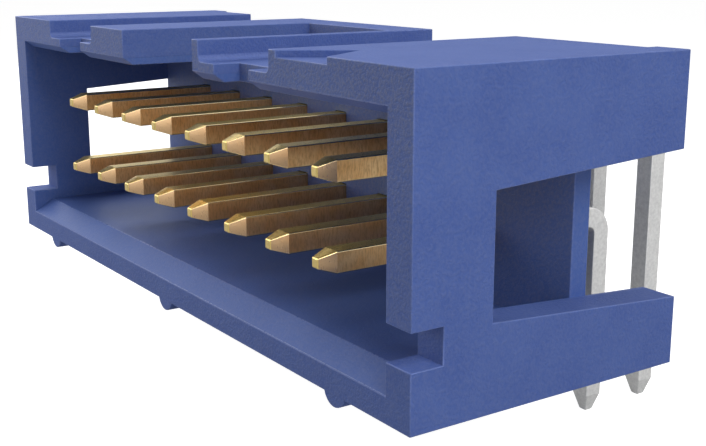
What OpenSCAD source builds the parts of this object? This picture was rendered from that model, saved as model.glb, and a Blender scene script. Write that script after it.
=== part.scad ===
// Right-angle box header for a flat ribbon cable: a one-piece moulded housing
// with two rows of square posts that turn down behind it and solder into a board.
//
// X runs along the rows, with contact 1 at +X. Y runs from the mating face to the
// tails. Z is up from the board side. The origin is the middle of the housing's
// flat underside.

/* [Contact grid] */
// Number of contact columns
columns = 8; // [8:1:24]
// Distance between neighbouring columns
column_pitch = 2.54; // [2.5:0.01:2.8]
// Distance between the two rows
row_pitch = 2.54; // [2.4:0.01:2.7]
// Height of the lower row above the underside
lower_row_height = 3.24; // [3.1:0.01:3.35]

/* [Housing] */
// From the centre of the outer column to the end of the housing
end_reach = 4.89; // [4.5:0.01:6]
// Height of the housing
housing_height = 8.95; // [8.7:0.05:10]
// Depth of the end walls, from the mating face
housing_depth = 9.4; // [9.1:0.05:10]
// Depth of the floor and the roof, from the mating face
deck_depth = 9; // [8.6:0.05:9.1]
// Thickness of the end walls at the mating face
end_wall_front = 1.03; // [0.8:0.01:1.1]
// Thickness of the end walls at the rear, with the mould's draft
end_wall_rear = 1.18; // [1.1:0.01:1.4]
// Thickness of the floor
floor_wall = 1.22; // [1.1:0.01:1.4]
// Thickness of the roof
roof_wall = 1.22; // [1.1:0.01:1.4]

/* [Mating cavity] */
// Depth of the cavity, from the mating face
cavity_depth = 6.35; // [5.8:0.01:6.6]
// Thickness of the wall behind the cavity
back_wall = 0.62; // [0.5:0.01:1]
// How far that wall is let into each end wall
back_wall_seat = 0.03; // [0.01:0.01:0.2]
// Thickness of the floor's front lip
floor_lip = 0.75; // [0.5:0.01:1]
// Length of the lead-in slope on the floor
floor_lead_in = 0.79; // [0.4:0.01:1.2]
// Thickness of the roof's front lip
roof_lip = 0.96; // [0.7:0.01:1.05]
// Length of the lead-in slope on the roof
roof_lead_in = 0.36; // [0.2:0.01:0.8]

/* [End windows] */
// Distance of the windows from the mating face
window_setback = 2.58; // [1.8:0.01:4]
// Height of the window sill at its front
window_sill_front = 2.45; // [2.3:0.01:3]
// Height of the window sill at the rear
window_sill_rear = 1.99; // [1.6:0.01:2.3]
// Height of the window head at its front
window_head_front = 5.84; // [5.2:0.01:6.1]
// Height of the window head at the rear
window_head_rear = 6.22; // [5.9:0.01:7]

/* [End notches] */
// Depth of the notch in each end wall's front edge
notch_depth = 1; // [0.5:0.05:1.5]
// Height of the notch
notch_height = 1; // [0.5:0.05:1.4]
// Height of the notch above the underside
notch_base = 1.65; // [1.3:0.05:2]

/* [Polarising slot] */
// Width of the slot for the plug's key
key_slot_width = 5.26; // [4.4:0.01:5.5]
// Length of the slot, from the mating face
key_slot_length = 7.5; // [6.8:0.05:8]
// Radius of the slot's rear corners
key_slot_corner = 0.2; // [0.1:0.05:0.5]

/* [Latch grooves] */
// Width of the grooves across the roof
groove_width = 4.2; // [3:0.05:4.4]
// Depth of the grooves below the top face
groove_depth = 0.65; // [0.4:0.01:0.8]
// Radius of the fillets along the grooves' floors
groove_fillet = 0.18; // [0.05:0.01:0.3]
// Distance of the grooves' centres from their throats, towards contact 1
groove_offset = 0.06; // [0:0.01:0.2]
// Width of the throat through each groove's front edge
throat_width = 2.08; // [1.4:0.01:2.6]
// Length of the throat, from the mating face
throat_length = 0.88; // [0.5:0.01:1.5]
// Columns between the near end and its groove
near_groove_columns = 2; // [2:1:2]
// Columns between the far end and its groove
far_groove_columns = 1; // [1:1:2]

/* [Contact 1 mark] */
// Width of the triangular mark on the front edge
mark_width = 2.54; // [1.5:0.01:2.8]
// Length of the mark, from the mating face
mark_length = 2; // [1:0.05:3]
// Depth of the mark
mark_depth = 0.2; // [0.1:0.01:0.3]

/* [Feet] */
// Radius of the half-round feet
foot_radius = 0.5; // [0.4:0.01:0.7]
// Height of the feet below the underside
foot_drop = 0.34; // [0.2:0.01:0.39]
// Length of each foot
foot_length = 1.5; // [0.8:0.1:3]
// Distance of the outer feet from the ends of the housing
foot_inset = 3.36; // [2:0.02:5]

/* [Contacts] */
// Width of the square posts
post_width = 0.64; // [0.5:0.01:0.7]
// Distance of the mating tips behind the mating face
tip_recess = 0.4; // [0.1:0.05:1]
// Length of the taper on the mating tips
tip_taper = 0.54; // [0.3:0.01:1]
// Width of the flat on every tip
tip_flat = 0.3; // [0.15:0.01:0.4]
// Distance of the lower row's tails from the mating face
tail_setback = 11.2; // [10.6:0.05:12]
// Length of the tails below the underside
tail_length = 3.5; // [2.5:0.05:4.5]
// Length of the taper on the tails
tail_taper = 0.6; // [0.3:0.01:1]
// Radius inside the bend
bend_radius = 0.25; // [0.15:0.01:0.4]

/* [Fit] */
// Clearance between each post and the sides of its hole
post_clearance = 0.02; // [0.01:0.01:0.05]
// Width of the contact block beyond the centre of the outer column
block_reach = 1.27; // [0.9:0.01:1.5]

/* [Hidden] */
$fn = 48;
cut = 1; // how far a cutting shape runs past the faces it cuts
grid_half = (columns - 1) * column_pitch / 2;
housing_length = 2 * (grid_half + end_reach);
half_length = housing_length / 2;
mating_y = -housing_depth / 2; // the mating face
roof_underside = housing_height - roof_wall;
groove_floor = housing_height - groove_depth;
near_groove_x = grid_half - (near_groove_columns - 0.5) * column_pitch;
far_groove_x = -grid_half + (far_groove_columns - 0.5) * column_pitch;
foot_x = half_length - foot_inset;
hole_width = post_width + 2 * post_clearance;
row_heights = [lower_row_height + row_pitch, lower_row_height];
row_tails = [tail_setback + row_pitch, tail_setback];
row_names = ["upper", "lower"];
plastic = [0.27, 0.32, 0.58];
metal = [0.80, 0.66, 0.36];

// Contacts are counted from the +X end, where the mark is.
function column_x(number) = grid_half - (number - 1) * column_pitch;
function contact_name(row, number) = str(row_names[row], "_contact_", number);

// Half the width between the end walls, at a distance from the mating face.
function inner_half(y) =
    half_length - end_wall_front - (end_wall_rear - end_wall_front) * y / housing_depth;

// Draws a profile given in Y and Z and gives it a length along X, centred.
module along_x(length) {
    translate([-length / 2, 0, 0])
        rotate([90, 0, 90])
            linear_extrude(height = length)
                children();
}

// The floor, seen from the end: a slab with its lead-in slope.
module floor_profile() {
    polygon([
        [0, 0],
        [deck_depth, 0],
        [deck_depth, floor_wall],
        [floor_lead_in, floor_wall],
        [0, floor_lip]
    ]);
}

// The roof, seen from the end.
module roof_profile() {
    polygon([
        [0, housing_height],
        [deck_depth, housing_height],
        [deck_depth, roof_underside],
        [roof_lead_in, roof_underside],
        [0, housing_height - roof_lip]
    ]);
}

// The window in an end wall, open to the rear, where it is taller.
module window_profile() {
    reach = housing_depth - window_setback;
    sill_slope = (window_sill_rear - window_sill_front) / reach;
    head_slope = (window_head_rear - window_head_front) / reach;
    polygon([
        [window_setback, window_sill_front],
        [housing_depth + cut, window_sill_rear + sill_slope * cut],
        [housing_depth + cut, window_head_rear + head_slope * cut],
        [window_setback, window_head_front]
    ]);
}

// An end wall, seen from the end.
module end_wall_profile() {
    difference() {
        square([housing_depth, housing_height]);
        window_profile();
        translate([-cut, notch_base])
            square([cut + notch_depth, notch_height]);
    }
}

// The end walls. They get thicker towards the rear, as the mould's draft needs.
module end_walls() {
    intersection() {
        along_x(housing_length)
            end_wall_profile();
        linear_extrude(height = housing_height)
            for (side = [-1, 1])
                polygon([
                    [side * half_length, 0],
                    [side * half_length, housing_depth],
                    [side * inner_half(housing_depth), housing_depth],
                    [side * inner_half(0), 0]
                ]);
    }
}

// The wall behind the cavity, and the thicker block that holds the contacts.
module contact_block() {
    block_half = grid_half + block_reach;
    height = roof_underside - floor_wall;
    wall_half = inner_half(cavity_depth) + back_wall_seat;
    translate([-wall_half, cavity_depth, floor_wall])
        cube([2 * wall_half, back_wall, height]);
    translate([-block_half, cavity_depth, floor_wall])
        cube([2 * block_half, deck_depth - cavity_depth, height]);
}

module feet() {
    rise = foot_radius - foot_drop;
    for (x = [-foot_x, 0, foot_x], y = [0, deck_depth - foot_length])
        translate([x, y, rise])
            rotate([-90, 0, 0])
                cylinder(r = foot_radius, h = foot_length);
}

// The slot for the plug's key, through the roof, with round rear corners.
module key_slot() {
    straight = key_slot_length - key_slot_corner;
    translate([0, 0, roof_underside])
        linear_extrude(height = roof_wall + cut) {
            translate([-key_slot_width / 2, -cut])
                square([key_slot_width, cut + straight]);
            translate([key_slot_corner - key_slot_width / 2, straight - cut])
                square([key_slot_width - 2 * key_slot_corner, cut + key_slot_corner]);
            for (side = [-1, 1])
                translate([side * (key_slot_width / 2 - key_slot_corner), straight])
                    circle(r = key_slot_corner);
        }
    // In front of the block the slot opens into the cavity.
    translate([-key_slot_width / 2, -cut, roof_underside - cut])
        cube([key_slot_width, cut + cavity_depth, roof_wall]);
}

// The section of a latch groove, in X and Z, with fillets along its floor.
module groove_profile() {
    half = groove_width / 2;
    translate([-half, groove_fillet])
        square([groove_width, groove_depth - groove_fillet + cut]);
    translate([groove_fillet - half, 0])
        square([groove_width - 2 * groove_fillet, groove_depth]);
    for (side = [-1, 1])
        translate([side * (half - groove_fillet), groove_fillet])
            circle(r = groove_fillet);
}

// A shallow groove along the whole roof, with a throat through its front edge.
module latch_groove(x) {
    translate([x + groove_offset, deck_depth + cut, groove_floor])
        rotate([90, 0, 0])
            linear_extrude(height = deck_depth + 2 * cut)
                groove_profile();
    translate([x - throat_width / 2, -cut, roof_underside - cut])
        cube([throat_width, cut + throat_length, roof_wall + cut]);
}

// The triangle that marks contact 1, with its base on the front edge.
module contact_1_mark() {
    translate([column_x(1), 0, housing_height - mark_depth])
        linear_extrude(height = mark_depth + cut)
            polygon([
                [-mark_width / 2, 0],
                [-mark_width / 2, -cut],
                [mark_width / 2, -cut],
                [mark_width / 2, 0],
                [0, mark_length]
            ]);
}

module post_holes() {
    for (row = [0, 1], number = [1:columns])
        translate([column_x(number), cavity_depth - cut, row_heights[row]])
            translate([-hole_width / 2, 0, -hole_width / 2])
                cube([hole_width, deck_depth - cavity_depth + 2 * cut, hole_width]);
}

module housing() {
    color(plastic)
        translate([0, mating_y, 0])
            difference() {
                union() {
                    along_x(housing_length - end_wall_front) floor_profile();
                    along_x(housing_length - end_wall_front) roof_profile();
                    end_walls();
                    contact_block();
                    feet();
                }
                key_slot();
                latch_groove(near_groove_x);
                latch_groove(far_groove_x);
                contact_1_mark();
                post_holes();
            }
}

// The outside of a contact, seen from the end, with its corner rounded off.
module contact_outer_profile(post_z, tail_y) {
    half = post_width / 2;
    flat = (post_width - tip_flat) / 2;
    outer_radius = bend_radius + post_width;
    difference() {
        polygon([
            [tip_recess, -tail_length],
            [tail_y + half - flat, -tail_length],
            [tail_y + half, tail_taper - tail_length],
            [tail_y + half, post_z + half],
            [tip_recess + tip_taper, post_z + half],
            [tip_recess, post_z + half - flat]
        ]);
        translate([tail_y + half - outer_radius, post_z + half - outer_radius])
            difference() {
                square(outer_radius + cut);
                circle(r = outer_radius);
            }
    }
}

// The space inside a contact's bend, below the post and in front of the tail.
module contact_inner_profile(post_z, tail_y) {
    half = post_width / 2;
    flat = (post_width - tip_flat) / 2;
    bend_y = tail_y - half - bend_radius;
    bend_z = post_z - half - bend_radius;
    polygon([
        [tip_recess - cut, -tail_length - cut],
        [tail_y - half + flat, -tail_length - cut],
        [tail_y - half + flat, -tail_length],
        [tail_y - half, tail_taper - tail_length],
        [tail_y - half, bend_z],
        [bend_y, bend_z],
        [bend_y, post_z - half],
        [tip_recess + tip_taper, post_z - half],
        [tip_recess, post_z - half + flat],
        [tip_recess - cut, post_z - half + flat]
    ]);
    translate([bend_y, bend_z])
        circle(r = bend_radius);
}

// A contact, seen from the end: the mating post, the bend and the tail.
module contact_profile(post_z, tail_y) {
    difference() {
        contact_outer_profile(post_z, tail_y);
        contact_inner_profile(post_z, tail_y);
    }
}

// The outline of a post with one tapered end, drawn from the tip towards +Y.
module tapered_outline(taper, length) {
    polygon([
        [-tip_flat / 2, 0],
        [tip_flat / 2, 0],
        [post_width / 2, taper],
        [post_width / 2, length],
        [-post_width / 2, length],
        [-post_width / 2, taper]
    ]);
}

// A whole contact. The two outlines taper its tips in width too.
module contact(row, number) {
    post_z = row_heights[row];
    tail_y = row_tails[row];
    height = post_z + tail_length + post_width;
    color(metal)
        translate([column_x(number), mating_y, 0])
            intersection() {
                along_x(post_width)
                    contact_profile(post_z, tail_y);
                translate([0, tip_recess, -tail_length - cut])
                    linear_extrude(height = height + 2 * cut)
                        tapered_outline(tip_taper, tail_y);
                translate([0, tail_y + post_width + cut, -tail_length])
                    rotate([90, 0, 0])
                        linear_extrude(height = tail_y + post_width + 2 * cut)
                            tapered_outline(tail_taper, height);
            }
}

housing();
for (row = [0, 1], number = [1:columns])
    contact(row, number);
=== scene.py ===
"""Looks for a right-angle box header: a moulded housing and two rows of bent square posts.

Lengths are in metres. X runs along the rows, with contact 1 at +X. Y runs from the mating
face to the tails. Z is up from the board side.
"""

import math

import bmesh
import bpy
from mathutils import Matrix, Vector


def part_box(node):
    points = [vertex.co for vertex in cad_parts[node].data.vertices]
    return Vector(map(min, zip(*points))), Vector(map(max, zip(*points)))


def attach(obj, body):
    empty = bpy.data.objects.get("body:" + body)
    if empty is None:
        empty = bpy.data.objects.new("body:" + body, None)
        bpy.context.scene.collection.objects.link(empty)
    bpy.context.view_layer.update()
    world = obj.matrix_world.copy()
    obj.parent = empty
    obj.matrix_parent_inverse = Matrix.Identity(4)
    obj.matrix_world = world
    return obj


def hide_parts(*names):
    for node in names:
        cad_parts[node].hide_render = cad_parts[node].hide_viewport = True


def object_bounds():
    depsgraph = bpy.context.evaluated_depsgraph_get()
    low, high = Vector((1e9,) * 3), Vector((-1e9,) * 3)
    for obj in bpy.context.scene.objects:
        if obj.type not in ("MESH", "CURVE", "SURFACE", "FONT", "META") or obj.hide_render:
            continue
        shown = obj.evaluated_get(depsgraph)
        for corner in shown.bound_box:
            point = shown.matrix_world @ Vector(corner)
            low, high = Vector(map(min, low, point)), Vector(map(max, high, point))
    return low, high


MM = 0.001
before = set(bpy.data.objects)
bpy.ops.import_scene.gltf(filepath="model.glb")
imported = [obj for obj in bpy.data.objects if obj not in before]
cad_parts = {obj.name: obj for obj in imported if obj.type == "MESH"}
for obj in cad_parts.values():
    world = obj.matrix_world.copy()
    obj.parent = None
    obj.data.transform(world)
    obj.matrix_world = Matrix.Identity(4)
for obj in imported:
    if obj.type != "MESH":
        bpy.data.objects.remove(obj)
cad_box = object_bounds()

# Sizes of the contacts, as the CAD has them.
COLUMNS = 8
COLUMN_PITCH = 2.54 * MM
POST_WIDTH = 0.64 * MM
TIP_FLAT = 0.30 * MM
TIP_TAPER = 0.54 * MM
TIP_FACE_Y = -4.3 * MM
TAIL_TAPER = 0.60 * MM
BEND_RADIUS = 0.25 * MM

# The rounding of the posts' edges and tips, and the steps in which edges and bends turn.
POST_EDGE = 0.035 * MM
POST_EDGE_STEPS = 4
TIP_EDGE = 0.034 * MM
BEND_STEPS = 12

# The housing's small roundings, on its outward corners only.
HOUSING_EDGE = 0.028 * MM
HOUSING_EDGE_STEPS = 2
CORNER_ANGLE = math.radians(28)

# Points closer than SAME_POINT are one. Faces that meet flatter than FLAT_ANGLE are one face, and
# a corner flatter than CREASE_ANGLE is shaded smooth. A side shorter than NARROW_FACE belongs to
# the rounding of a post. A face looks along an axis if its normal reaches LOOKS_ALONG on it.
SAME_POINT = 1e-7
FLAT_ANGLE = math.radians(0.6)
CREASE_ANGLE = math.radians(10)
NARROW_FACE = 0.05 * MM
LOOKS_ALONG = 0.9

# Where the gold of the mating ends gives way to the tin of the tails, inside the housing.
PLATING_Y = 3.2 * MM
# How far the tone of a post's cut end reaches back from its tip.
CUT_END_DEPTH = 0.008 * MM

# The space inside the walls, where the moulding is smoother, and where a deeper, more saturated blue is
# painted as shade and light bounced between its walls.
CAVITY_HALF_WIDTH = 12.76 * MM
CAVITY_LOW = 0.755 * MM
CAVITY_HIGH = 7.985 * MM

# The coarse finish of the mating side grows from the floor's lip up to the roof, and so does the grey
# sheen painted on its grain.
COARSE_AND_SHEEN_FROM = 2.0 * MM
COARSE_AND_SHEEN_TO = 8.0 * MM

# The floor's own light as the camera sees it, and the share of it that shows in metal.
FLOOR_GLOW = 0.95
FLOOR_SHINE = 0.15
FLOOR_HALF_WIDTH = 0.6
# The world's light on the object. To the camera, in metal and in glass the world is white.
WORLD_LIGHT = 0.08
WORLD_WHITE = 1.0

LAMP_AIM = (0, 0, 4 * MM)
LAMP_WIDTH = 0.667  # as a share of its distance
LAMPS = [
    # name, turn about Z from +X and height above the floor in degrees, distance in millimetres,
    # power in watts, seen in gloss
    ("right_high", 0, 45, 120, 0.0875, True),
    ("right", 0, 15, 120, 0.0215, True),
    ("right_front", -30, 15, 120, 0.0196, True),
    ("left_front_high", 225, 45, 70, 0.0105, True),
    ("left_front", 225, 15, 70, 0.0121, True),
    ("left_high", 180, 35, 120, 0.06, False),
    ("left_high_gloss", 180, 35, 120, 0.0145, True),
    ("left", 180, 15, 120, 0.024, True),
    ("top", 0, 90, 120, 0.0102, True),
]

# The lens and the sensor are in millimetres.
CAMERA_PLACE = (34.172 * MM, -20.319 * MM, 11.392 * MM)
CAMERA_TURN = math.radians(55.627)
CAMERA_DROP = math.radians(13.212)
CAMERA_LENS = 57.95
CAMERA_SENSOR = 36.0
CAMERA_NEAREST = 0.001
CAMERA_FARTHEST = 10.0


class Tree:
    """A tree of nodes, and short ways to add and join them."""

    def __init__(self, tree):
        self.nodes = tree.nodes
        self.links = tree.links

    def add(self, kind, inputs=None, **settings):
        node = self.nodes.new(kind)
        for key, value in settings.items():
            setattr(node, key, value)
        for name, value in (inputs or {}).items():
            self.feed(node.inputs[name], value)
        return node

    def feed(self, target, value):
        """Sets a socket to a value, or joins it to another node's output."""
        if isinstance(value, bpy.types.NodeSocket):
            self.links.new(value, target)
        else:
            target.default_value = value

    def math(self, operation, first, second=0.0):
        node = self.add("ShaderNodeMath", operation=operation)
        self.feed(node.inputs[0], first)
        self.feed(node.inputs[1], second)
        return node.outputs["Value"]


# ---------------------------------------------------------------- materials

class Shader(Tree):
    """A material whose patterns are fixed to the piece."""

    def __init__(self, name):
        self.material = bpy.data.materials.new(name)
        self.material.use_nodes = True
        super().__init__(self.material.node_tree)
        self.nodes.clear()
        self.output = self.add("ShaderNodeOutputMaterial")
        self.coordinates = self.add("ShaderNodeTexCoord").outputs["Object"]

    def place(self):
        """The place of a point on the piece, as X, Y and Z."""
        return self.add("ShaderNodeSeparateXYZ", {"Vector": self.coordinates}).outputs

    def mark(self, name):
        """A mark that the mesh carries on its faces, from 0 to 1."""
        return self.add("ShaderNodeAttribute", attribute_name=name).outputs["Fac"]

    def noise(self, size, detail, roughness, stretch=(1, 1, 1)):
        """Noise whose blotches are about size across, from 0 to 1."""
        mapping = self.add("ShaderNodeMapping", {"Scale": stretch, "Vector": self.coordinates})
        node = self.add("ShaderNodeTexNoise", {
            "Vector": mapping.outputs["Vector"], "Scale": 1.0 / size,
            "Detail": detail, "Roughness": roughness})
        return node.outputs["Fac"]

    def span(self, value, low, high, to_low, to_high):
        """Maps the range from low to high to another one, and stops at its ends."""
        node = self.add("ShaderNodeMapRange", {
            "Value": value, "From Min": low, "From Max": high, "To Min": to_low, "To Max": to_high})
        return node.outputs["Result"]

    def blend(self, factor, first, second):
        """Mixes two colours by a factor."""
        node = self.add("ShaderNodeMix", data_type="RGBA")
        self.feed(node.inputs["Factor"], factor)
        self.feed(node.inputs["A"], first)
        self.feed(node.inputs["B"], second)
        return node.outputs["Result"]

    def bump(self, height, distance, strength, under=None):
        """Relief of a given height, over another relief if there is one under it."""
        node = self.add("ShaderNodeBump", {
            "Strength": strength, "Distance": distance, "Height": height})
        if under is not None:
            self.feed(node.inputs["Normal"], under)
        return node.outputs["Normal"]

    def principled(self, **values):
        """Closes the material with one shader, from values for its named sockets."""
        inputs = {name.replace("_", " "): value for name, value in values.items()}
        node = self.add("ShaderNodeBsdfPrincipled", inputs)
        self.feed(self.output.inputs["Surface"], node.outputs["BSDF"])


def rgb(red, green, blue):
    """A colour given as it looks on a screen, from 0 to 255."""
    def linear(level):
        level /= 255
        return level / 12.92 if level <= 0.04045 else ((level + 0.055) / 1.055) ** 2.4
    return (linear(red), linear(green), linear(blue), 1.0)


def moulded_plastic():
    """Blue moulded polyester: spark-eroded grain outside, a smoother finish in the cavity, and painted
    light: a grey sheen on the mating side's grain, highlights on the rounded edges and a deeper blue as
    shade inside the cavity.
    """
    deep_blue, clear_blue, painted_cavity_blue = rgb(65, 87, 150), rgb(71, 93, 155), rgb(64, 92, 156)
    mottle_blue, grain_blue = rgb(92, 106, 154), rgb(96, 110, 156)
    painted_sheen_grey = rgb(106, 112, 138)
    painted_edge_highlight = rgb(104, 122, 180)
    mottle_height, grain_height = 0.02 * MM, 0.025 * MM
    outer_rough, cavity_rough = 0.7, 0.48

    s = Shader("moulded_plastic")
    place = s.place()
    across = s.math("LESS_THAN", s.math("ABSOLUTE", place["X"]), CAVITY_HALF_WIDTH)
    above = s.math("GREATER_THAN", place["Z"], CAVITY_LOW)
    below = s.math("LESS_THAN", place["Z"], CAVITY_HIGH)
    cavity = s.math("MULTIPLY", across, s.math("MULTIPLY", above, below))
    coarse_and_sheen = s.math("MULTIPLY", s.mark("coarse_and_sheen"), s.span(place["Z"], COARSE_AND_SHEEN_FROM, COARSE_AND_SHEEN_TO, 0.2, 1.0))
    rounded = s.mark("rounded")
    blotch = s.noise(1.4 * MM, 3.0, 0.55)
    mottle = s.noise(0.16 * MM, 3.0, 0.6)
    grain = s.noise(0.08 * MM, 3.0, 0.6)

    tone = s.blend(s.span(blotch, 0.35, 0.65, 0.0, 1.0), deep_blue, clear_blue)
    # Painted shade: inside the cavity the blue is painted deeper and more saturated, for the shade and
    # the light bounced between its walls.
    tone = s.blend(s.math("MULTIPLY", cavity, 0.7), tone, painted_cavity_blue)
    tone = s.blend(s.span(mottle, 0.38, 0.66, 0.0, 0.26), tone, mottle_blue)
    tone = s.blend(s.span(grain, 0.42, 0.7, 0.0, 0.3), tone, grain_blue)
    # Painted sheen: grey speckle on the mating side's grain stands in for the highlights it catches; the
    # stronger relief there is real.
    sheen_speckle = s.math("MULTIPLY", s.span(grain, 0.4, 0.66, 0.1, 0.64), coarse_and_sheen)
    tone = s.blend(sheen_speckle, tone, painted_sheen_grey)
    # Painted highlight: the faces of the small roundings are painted a lighter blue along the housing's
    # edges; their lower roughness below is real.
    tone = s.blend(s.math("MULTIPLY", rounded, 0.45), tone, painted_edge_highlight)

    relief = s.math("SUBTRACT", 1.0, s.math("MULTIPLY", cavity, 0.6))
    relief = s.math("ADD", relief, s.math("MULTIPLY", coarse_and_sheen, 0.3))
    mottled = s.bump(s.math("MULTIPLY", mottle, relief), mottle_height, 0.5)
    grained = s.bump(s.math("MULTIPLY", grain, relief), grain_height, 0.9, mottled)
    rough = s.span(cavity, 0.0, 1.0, outer_rough, cavity_rough)
    rough = s.math("ADD", rough, s.span(grain, 0.3, 0.7, -0.03, 0.05))
    rough = s.math("SUBTRACT", rough, s.math("MULTIPLY", rounded, 0.2))
    s.principled(Base_Color=tone, Roughness=rough, Normal=grained, IOR=1.5, Specular_IOR_Level=0.28)
    return s.material


def plated_contact():
    """Brass, plated with gold on the mating end and with matte tin on the tail.

    The rolled faces, the sheared sides, the coined tip, the edges and the cut end of a post each
    have their own tone of gold. The paler gold of the sides and the glint on the edges are painted light.
    """
    rolled_gold, rolled_streak = rgb(222, 196, 102), rgb(188, 158, 68)
    painted_side_gold, painted_side_pale, sheared_streak = rgb(240, 190, 126), rgb(244, 205, 148), rgb(186, 136, 86)
    coined_gold, painted_coined_side = rgb(222, 196, 122), rgb(200, 166, 126)
    painted_glint_gold, cut_gold = rgb(246, 226, 176), rgb(196, 174, 112)
    tin_dark, tin_pale = rgb(203, 203, 203), rgb(219, 219, 218)
    rolled_rough, sheared_rough, least_gold_rough, tin_rough = 0.3, 0.38, 0.16, 0.65
    mottle_height = 0.003 * MM

    s = Shader("plated_contact")
    along = s.place()["Y"]
    tin = s.math("GREATER_THAN", along, PLATING_Y)
    coined = s.math("LESS_THAN", along, TIP_FACE_Y + TIP_TAPER)
    cut_end = s.math("LESS_THAN", along, TIP_FACE_Y + CUT_END_DEPTH)
    edge = s.mark("burnished_and_glint")
    side = s.mark("sheared")
    shear = s.noise(0.05 * MM, 3.0, 0.65, (1, 1, 0.25))
    drawn = s.noise(0.05 * MM, 2.0, 0.55, (1, 0.12, 1))
    mottle = s.noise(0.11 * MM, 4.0, 0.65)
    patina = s.noise(0.7 * MM, 2.0, 0.5)

    rolled = s.blend(s.span(drawn, 0.4, 0.7, 0.0, 0.5), rolled_gold, rolled_streak)
    # Painted light: the sides turned along X, on the posts and on the coined tip, are painted a paler,
    # pinker gold for the light they catch; the streaks are the shear's own marks.
    sheared = s.blend(s.span(patina, 0.35, 0.65, 0.0, 1.0), painted_side_gold, painted_side_pale)
    sheared = s.blend(s.span(shear, 0.45, 0.65, 0.0, 0.5), sheared, sheared_streak)
    gold = s.blend(side, rolled, sheared)
    gold = s.blend(coined, gold, s.blend(side, coined_gold, painted_coined_side))
    # Painted glint: the narrow rounded edges are painted pale gold, less so on the coined tip; their
    # lower roughness is real.
    glint = s.math("MULTIPLY", edge, s.span(coined, 0.0, 1.0, 1.0, 0.4))
    gold = s.blend(glint, gold, painted_glint_gold)
    gold = s.blend(cut_end, gold, cut_gold)
    grey = s.blend(s.span(mottle, 0.35, 0.65, 0.0, 1.0), tin_dark, tin_pale)
    colour = s.blend(tin, gold, grey)

    rough = s.span(side, 0.0, 1.0, rolled_rough, sheared_rough)
    rough = s.math("ADD", rough, s.span(shear, 0.3, 0.7, -0.05, 0.08))
    rough = s.math("SUBTRACT", rough, s.math("MULTIPLY", s.math("MULTIPLY", coined, side), 0.08))
    rough = s.math("ADD", rough, s.math("MULTIPLY", cut_end, 0.05))
    rough = s.math("SUBTRACT", rough, s.math("MULTIPLY", edge, 0.2))
    rough = s.math("MAXIMUM", rough, least_gold_rough)
    rough = s.math("MAXIMUM", rough, s.math("MULTIPLY", tin, tin_rough))
    relief = s.math("MULTIPLY", mottle, s.math("SUBTRACT", 1.0, coined))
    mottled = s.bump(relief, mottle_height, 0.3)
    s.principled(Base_Color=colour, Metallic=1.0, Roughness=rough, Normal=mottled)
    return s.material


def pale_floor():
    """White to the camera and in glass, much fainter in metal, and dimmed by the object's shadow."""
    paper_dark, paper_pale = rgb(178, 178, 178), rgb(184, 184, 184)

    s = Shader("pale_floor")
    path = s.add("ShaderNodeLightPath").outputs
    seen = s.math("MAXIMUM", path["Is Camera Ray"], path["Is Transmission Ray"])
    seen = s.math("MAXIMUM", seen, s.math("MULTIPLY", path["Is Glossy Ray"], FLOOR_SHINE))
    paper = s.add("ShaderNodeBsdfDiffuse", {
        "Color": s.blend(s.noise(2.0 * MM, 2.0, 0.5), paper_dark, paper_pale)})
    glow = s.add("ShaderNodeEmission", {
        "Color": (1, 1, 1, 1), "Strength": s.math("MULTIPLY", seen, FLOOR_GLOW)})
    both = s.add("ShaderNodeAddShader")
    s.feed(both.inputs[0], paper.outputs["BSDF"])
    s.feed(both.inputs[1], glow.outputs["Emission"])
    s.feed(s.output.inputs["Surface"], both.outputs["Shader"])
    return s.material


# ---------------------------------------------------------------- the housing

def merged_copy(node, name):
    """A CAD node's mesh as a new object, with its loose triangles joined into flat faces."""
    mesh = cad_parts[node].data.copy()
    mesh.name = name
    mesh.materials.clear()
    work = bmesh.new()
    work.from_mesh(mesh)
    bmesh.ops.remove_doubles(work, verts=work.verts, dist=SAME_POINT)
    bmesh.ops.dissolve_limit(work, angle_limit=FLAT_ANGLE, verts=work.verts, edges=work.edges)
    work.to_mesh(mesh)
    work.free()
    piece = bpy.data.objects.new(name, mesh)
    bpy.context.scene.collection.objects.link(piece)
    return piece


def applied(piece):
    """Turns a piece's modifiers into plain mesh."""
    graph = bpy.context.evaluated_depsgraph_get()
    mesh = bpy.data.meshes.new_from_object(piece.evaluated_get(graph))
    mesh.name = piece.name
    piece.modifiers.clear()
    piece.data = mesh
    return piece


def mark_corners(mesh):
    """Marks outward corners to be rounded, and keeps every inward corner a crisp crease.

    The faces turned to the mating side are marked too, as the mould's finish is coarser there and a grey
    sheen is painted on their grain.
    """
    work = bmesh.new()
    work.from_mesh(mesh)
    weight = work.edges.layers.float.new("bevel_weight_edge")
    coarse_and_sheen = work.faces.layers.float.new("coarse_and_sheen")
    for face in work.faces:
        face.smooth = True
        face[coarse_and_sheen] = 1.0 if face.normal.y < -LOOKS_ALONG else 0.0
    for edge in work.edges:
        turn = edge.calc_face_angle_signed(0.0)
        edge[weight] = 1.0 if turn > CORNER_ANGLE else 0.0
        edge.smooth = abs(turn) < CREASE_ANGLE
    work.to_mesh(mesh)
    work.free()


def round_corners(piece, width, steps):
    """Rounds the marked corners."""
    bevel = piece.modifiers.new("corners", "BEVEL")
    bevel.width = width
    bevel.segments = steps
    bevel.limit_method = "WEIGHT"
    bevel.use_clamp_overlap = False


def level_faces(piece):
    """Keeps the large faces flat in the shading, so that only the roundings bend the light."""
    level = piece.modifiers.new("level faces", "WEIGHTED_NORMAL")
    level.weight = 100
    level.keep_sharp = True


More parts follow.
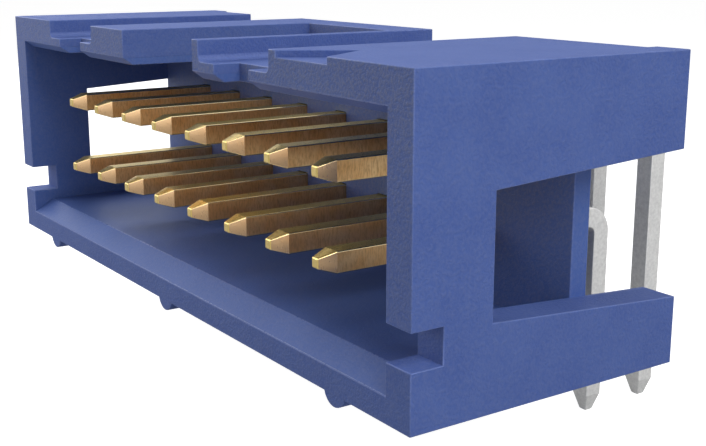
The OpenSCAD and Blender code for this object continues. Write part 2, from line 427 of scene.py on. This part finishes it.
def mark_roundings(mesh, width):
    """Marks the faces that the rounding made: strips whose mean width is less than width."""
    rounded = mesh.attributes.new("rounded", "FLOAT", "FACE")
    for face in mesh.polygons:
        corners = [mesh.vertices[index].co for index in face.vertices]
        sides = [(first - second).length for first, second in zip(corners, corners[1:] + corners[:1])]
        rounded.data[face.index].value = 1.0 if face.area < width * max(sides) else 0.0


def housing_shell(material):
    """The housing with its outward corners rounded."""
    piece = merged_copy("housing", "housing_shell")
    mark_corners(piece.data)
    round_corners(piece, HOUSING_EDGE, HOUSING_EDGE_STEPS)
    level_faces(piece)
    applied(piece)
    mark_roundings(piece.data, HOUSING_EDGE)
    piece.data.materials.append(material)
    return piece


# ---------------------------------------------------------------- the contacts

class Geometry(Tree):
    """A Geometry Nodes tree with named inputs."""

    def __init__(self, name, inputs):
        self.group = bpy.data.node_groups.new(name, "GeometryNodeTree")
        super().__init__(self.group)
        self.sockets = {}
        sockets = self.group.interface
        sockets.new_socket("Geometry", in_out="OUTPUT", socket_type="NodeSocketGeometry")
        for label, kind in inputs:
            socket = sockets.new_socket(label, in_out="INPUT", socket_type="NodeSocket" + kind)
            self.sockets[label] = socket.identifier
        self.given = self.add("NodeGroupInput")
        self.result = self.add("NodeGroupOutput")

    def take(self, label):
        """The value of a named input."""
        return self.given.outputs[label]

    def point(self, x=0.0, y=0.0, z=0.0):
        return self.add("ShaderNodeCombineXYZ", {"X": x, "Y": y, "Z": z}).outputs["Vector"]

    def by_index(self, kind, values):
        """A value for each point of a line, in their order."""
        node = self.add("GeometryNodeIndexSwitch", data_type=kind)
        while len(node.index_switch_items) < len(values):
            node.index_switch_items.new()
        index = self.add("GeometryNodeInputIndex").outputs["Index"]
        self.feed(node.inputs["Index"], index)
        for number, value in enumerate(values):
            self.feed(node.inputs[number + 1], value)
        return node.outputs["Output"]


def contact_row_tree():
    """A row of bent square posts: one is swept along its bent line, then set at each column."""
    g = Geometry("contact_row", [
        ("Columns", "Int"), ("Pitch", "Float"), ("First X", "Float"),
        ("Post Y", "Float"), ("Post Z", "Float"), ("Tail Y", "Float"), ("Tail Z", "Float"),
        ("Width", "Float"), ("Tip Flat", "Float"), ("Tip Taper", "Float"), ("Tail Taper", "Float"),
        ("Bend Radius", "Float"), ("Bend Steps", "Int"),
        ("Edge", "Float"), ("Edge Steps", "Int"), ("Tip Edge", "Float"),
        ("Material", "Material"),
    ])
    post_y = g.take("Post Y")
    post_z = g.take("Post Z")
    tail_y = g.take("Tail Y")
    tail_z = g.take("Tail Z")
    width = g.take("Width")
    tip_flat = g.take("Tip Flat")
    tip_edge = g.take("Tip Edge")

    # The bent line, from the mating tip to the tail's tip.
    corners = [
        g.point(0.0, post_y, post_z),
        g.point(0.0, g.math("ADD", post_y, tip_edge), post_z),
        g.point(0.0, g.math("ADD", post_y, g.take("Tip Taper")), post_z),
        g.point(0.0, tail_y, post_z),
        g.point(0.0, tail_y, g.math("ADD", tail_z, g.take("Tail Taper"))),
        g.point(0.0, tail_y, g.math("ADD", tail_z, tip_edge)),
        g.point(0.0, tail_y, tail_z),
    ]
    line = g.add("GeometryNodeMeshLine", {"Count": len(corners)})
    placed = g.add("GeometryNodeSetPosition", {
        "Geometry": line.outputs["Mesh"], "Position": g.by_index("VECTOR", corners)})
    path = g.add("GeometryNodeMeshToCurve", {"Mesh": placed.outputs["Geometry"]})

    # How wide the post is at each corner of that line, as a share of its full width.
    flat = g.math("DIVIDE", tip_flat, width)
    rims = g.math("MULTIPLY", tip_edge, 2.0)
    face = g.math("DIVIDE", g.math("SUBTRACT", tip_flat, rims), width)
    shares = [face, flat, 1.0, 1.0, 1.0, flat, face]
    sized = g.add("GeometryNodeSetCurveRadius", {
        "Curve": path.outputs["Curve"], "Radius": g.by_index("FLOAT", shares)})

    # The bend, which only the middle corner has.
    middle = g.math("ADD", g.take("Bend Radius"), g.math("MULTIPLY", width, 0.5))
    radii = [0.0, 0.0, 0.0, middle, 0.0, 0.0, 0.0]
    bent = g.add("GeometryNodeFilletCurve", {
        "Curve": sized.outputs["Curve"], "Count": g.take("Bend Steps"),
        "Radius": g.by_index("FLOAT", radii)}, mode="POLY")

    # The square section, with its edges a little round.
    square = g.add("GeometryNodeCurvePrimitiveQuadrilateral", {"Width": width, "Height": width})
    section = g.add("GeometryNodeFilletCurve", {
        "Curve": square.outputs["Curve"], "Count": g.take("Edge Steps"),
        "Radius": g.take("Edge")}, mode="POLY")
    swept = g.add("GeometryNodeCurveToMesh", {
        "Curve": bent.outputs["Curve"], "Profile Curve": section.outputs["Curve"],
        "Scale": g.add("GeometryNodeInputRadius").outputs["Radius"], "Fill Caps": True})

    # One at each column, counted from +X.
    step = g.point(g.math("MULTIPLY", g.take("Pitch"), -1.0))
    columns = g.add("GeometryNodeMeshLine", {
        "Count": g.take("Columns"), "Start Location": g.point(g.take("First X")), "Offset": step})
    row = g.add("GeometryNodeInstanceOnPoints", {
        "Points": columns.outputs["Mesh"], "Instance": swept.outputs["Mesh"]})
    real = g.add("GeometryNodeRealizeInstances", {"Geometry": row.outputs["Instances"]})
    finished = g.add("GeometryNodeSetMaterial", {
        "Geometry": real.outputs["Geometry"], "Material": g.take("Material")})
    g.feed(g.result.inputs["Geometry"], finished.outputs["Geometry"])
    return g


def contact_row(tree, row, material):
    """All the contacts of one row, as one mesh."""
    low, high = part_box(f"{row}_contact_1")
    values = {
        "Columns": COLUMNS,
        "Pitch": COLUMN_PITCH,
        "First X": (low.x + high.x) / 2,
        "Post Y": low.y,
        "Post Z": high.z - POST_WIDTH / 2,
        "Tail Y": high.y - POST_WIDTH / 2,
        "Tail Z": low.z,
        "Width": POST_WIDTH,
        "Tip Flat": TIP_FLAT,
        "Tip Taper": TIP_TAPER,
        "Tail Taper": TAIL_TAPER,
        "Bend Radius": BEND_RADIUS,
        "Bend Steps": BEND_STEPS,
        "Edge": POST_EDGE,
        "Edge Steps": POST_EDGE_STEPS,
        "Tip Edge": TIP_EDGE,
        "Material": material,
    }
    name = f"{row}_contacts"
    piece = bpy.data.objects.new(name, bpy.data.meshes.new(name))
    bpy.context.scene.collection.objects.link(piece)
    modifier = piece.modifiers.new("row", "NODES")
    modifier.node_group = tree.group
    for label, value in values.items():
        modifier[tree.sockets[label]] = value
    applied(piece)
    finish_post_faces(piece.data)
    level_faces(piece)
    return applied(piece)


def finish_post_faces(mesh):
    """Turns every face outwards, shades the edges round and marks how each face was made.

    The posts are stamped from strip: their sides are sheared, their other faces are rolled, and
    plating leaves the narrow faces at their edges burnished. The material paints a glint on those edges
    and a paler gold on the sides as painted light.
    """
    work = bmesh.new()
    work.from_mesh(mesh)
    bmesh.ops.remove_doubles(work, verts=work.verts, dist=SAME_POINT)
    bmesh.ops.recalc_face_normals(work, faces=work.faces)
    burnished_and_glint = work.faces.layers.float.new("burnished_and_glint")
    sheared = work.faces.layers.float.new("sheared")
    for face in work.faces:
        face.smooth = True
        shortest = min(edge.calc_length() for edge in face.edges)
        face[burnished_and_glint] = 1.0 if len(face.verts) == 4 and shortest < NARROW_FACE else 0.0
        face[sheared] = 1.0 if abs(face.normal.x) > LOOKS_ALONG else 0.0
    for edge in work.edges:
        beside = any(face[burnished_and_glint] > 0.5 for face in edge.link_faces)
        rounded = beside and edge.calc_length() > NARROW_FACE
        edge.smooth = rounded or edge.calc_face_angle(0.0) < CREASE_ANGLE
    work.to_mesh(mesh)
    work.free()


# ---------------------------------------------------------------- light, floor and camera

def lamps():
    """Soft round lamps that all look at the middle of the header."""
    aim = Vector(LAMP_AIM)
    for name, turn, height, distance, power, in_gloss in LAMPS:
        data = bpy.data.lights.new(name, "AREA")
        data.shape = "DISK"
        data.size = distance * LAMP_WIDTH * MM
        data.energy = power
        lamp = bpy.data.objects.new(name, data)
        turn = math.radians(turn)
        height = math.radians(height)
        level = math.cos(height)
        away = Vector((math.cos(turn) * level, math.sin(turn) * level, math.sin(height)))
        facing = (-away).to_track_quat("-Z", "Y").to_matrix().to_4x4()
        lamp.matrix_world = Matrix.Translation(aim + away * distance * MM) @ facing
        lamp.visible_camera = False
        lamp.visible_glossy = in_gloss
        bpy.context.scene.collection.objects.link(lamp)


def white_surroundings():
    """A world that is white to the camera, in metal and in glass, and lights the object only a little."""
    world = bpy.data.worlds.new("studio")
    world.use_nodes = True
    w = Tree(world.node_tree)
    path = w.add("ShaderNodeLightPath").outputs
    seen = w.math("MAXIMUM", path["Is Camera Ray"], path["Is Glossy Ray"])
    seen = w.math("MAXIMUM", seen, path["Is Transmission Ray"])
    light = w.add("ShaderNodeMapRange", {"Value": seen, "To Min": WORLD_LIGHT, "To Max": WORLD_WHITE})
    back = w.nodes["Background"]
    w.feed(back.inputs["Color"], (1, 1, 1, 1))
    w.feed(back.inputs["Strength"], light.outputs["Result"])
    bpy.context.scene.world = world


def floor_under(box):
    """A wide pale floor that the tails' tips stand on."""
    half = FLOOR_HALF_WIDTH
    level = box[0][2]
    mesh = bpy.data.meshes.new("floor")
    corners = [(-half, -half, level), (half, -half, level), (half, half, level), (-half, half, level)]
    mesh.from_pydata(corners, [], [(0, 1, 2, 3)])
    floor = bpy.data.objects.new("floor", mesh)
    bpy.context.scene.collection.objects.link(floor)
    mesh.materials.append(pale_floor())


def camera():
    data = bpy.data.cameras.new("camera")
    data.lens = CAMERA_LENS
    data.sensor_width = CAMERA_SENSOR
    data.sensor_fit = "HORIZONTAL"
    data.clip_start = CAMERA_NEAREST
    data.clip_end = CAMERA_FARTHEST
    eye = bpy.data.objects.new("camera", data)
    turn = Matrix.Rotation(CAMERA_TURN, 4, "Z") @ Matrix.Rotation(math.pi / 2 - CAMERA_DROP, 4, "X")
    eye.matrix_world = Matrix.Translation(Vector(CAMERA_PLACE)) @ turn
    bpy.context.scene.collection.objects.link(eye)
    bpy.context.scene.camera = eye


# ---------------------------------------------------------------- the part

camera()
plastic = moulded_plastic()
plating = plated_contact()

shell = housing_shell(plastic)
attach(shell, "root")
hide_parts("housing")

row_tree = contact_row_tree()
for row in ("upper", "lower"):
    contacts = contact_row(row_tree, row, plating)
    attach(contacts, "root")
    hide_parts(*[f"{row}_contact_{number}" for number in range(1, COLUMNS + 1)])

lamps()
white_surroundings()
floor_under(cad_box)
bpy.context.scene.view_settings.view_transform = "Standard"
